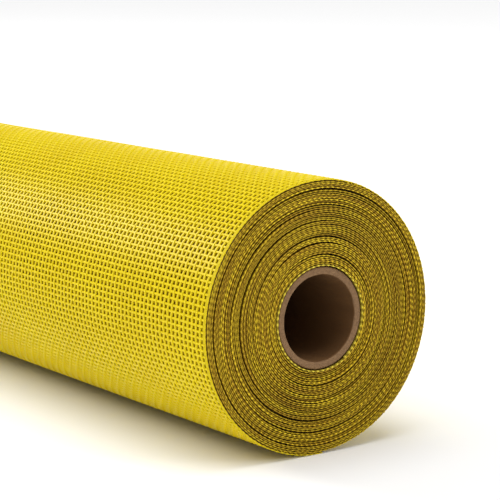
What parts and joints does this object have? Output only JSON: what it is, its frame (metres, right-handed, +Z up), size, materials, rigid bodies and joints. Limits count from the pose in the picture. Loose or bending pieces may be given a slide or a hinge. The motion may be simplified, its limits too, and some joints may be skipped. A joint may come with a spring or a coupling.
{
  "type": "roll of vinyl mesh fabric",
  "caption": "Coated open-weave mesh fabric wound as a roll on a cardboard core, lying on its side, with an open bore right through for a spindle.",
  "frame": {"origin": "on the floor, under the middle of the roll", "axes": "+X along the roll's axis, towards the end that the picture shows; +Z up"},
  "size_m": [0.9144, 0.1208, 0.1208],
  "materials": {
    "vinyl_mesh": "satin vinyl-coated open weave",
    "cardboard": "matt kraft board with layered cut ends"
  },
  "bodies": {
    "root": {"mesh_roll": "vinyl_mesh", "core_tube": "cardboard"}
  },
  "joints": []
}
